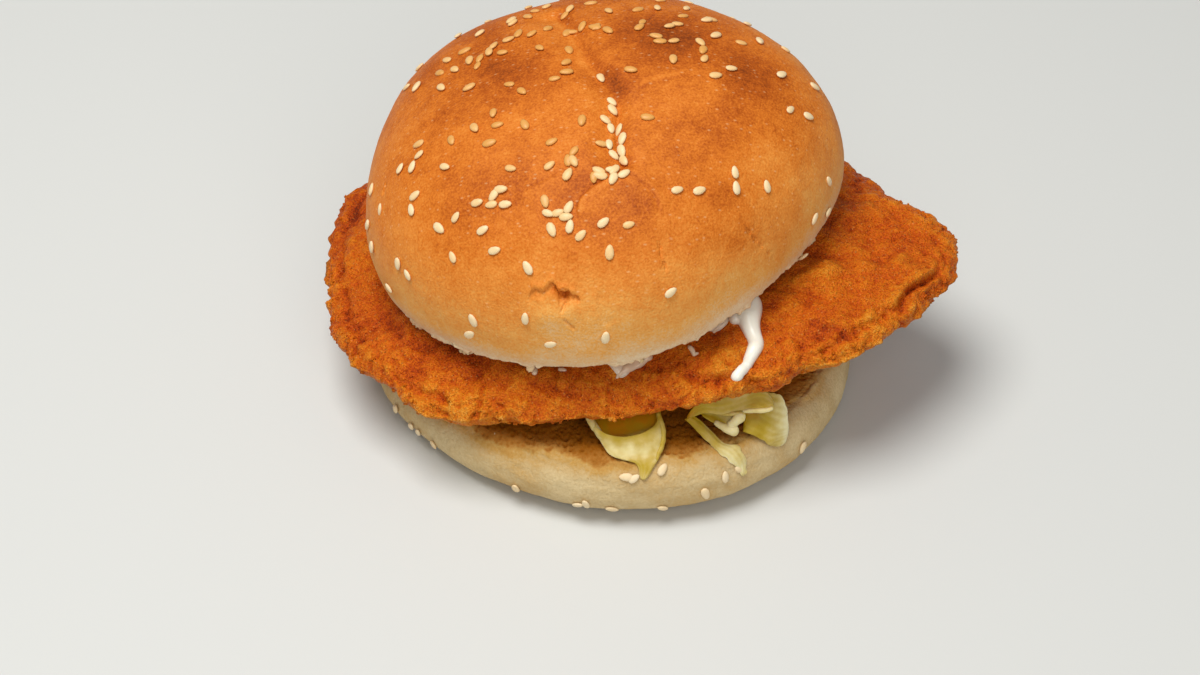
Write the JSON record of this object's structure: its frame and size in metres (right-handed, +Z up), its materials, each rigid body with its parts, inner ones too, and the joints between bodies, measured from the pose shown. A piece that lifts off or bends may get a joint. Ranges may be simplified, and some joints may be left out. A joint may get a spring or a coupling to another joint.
{
  "type": "chicken burger",
  "caption": "Seeded burger bun cut in two, holding a long breaded chicken fillet that reaches out past it, with lettuce and mayonnaise.",
  "frame": {"origin": "middle of the bottom bun's flat base, on the surface the burger stands on", "axes": "+Z up through the stack, +X along the fillet to its pointed end, -Y to the side where lettuce and sauce show"},
  "size_m": [0.1641, 0.1305, 0.0896],
  "materials": {
    "pale_crust": "soft pale bread crust with a dusting of flour",
    "lettuce_leaf": "moist pale green leaf with cream ribs",
    "fried_breading": "deep-fried crumb coating, craggy, with a little oil",
    "mayonnaise": "glossy off-white sauce",
    "browned_crust": "baked golden-brown crust with a satin gloss",
    "sesame_seed": "hulled sesame seed, smooth"
  },
  "bodies": {
    "root": {"bottom_bun": "pale_crust", "lettuce": "lettuce_leaf", "chicken_fillet": "fried_breading", "mayonnaise": "mayonnaise", "top_bun": "browned_crust"}
  },
  "joints": []
}
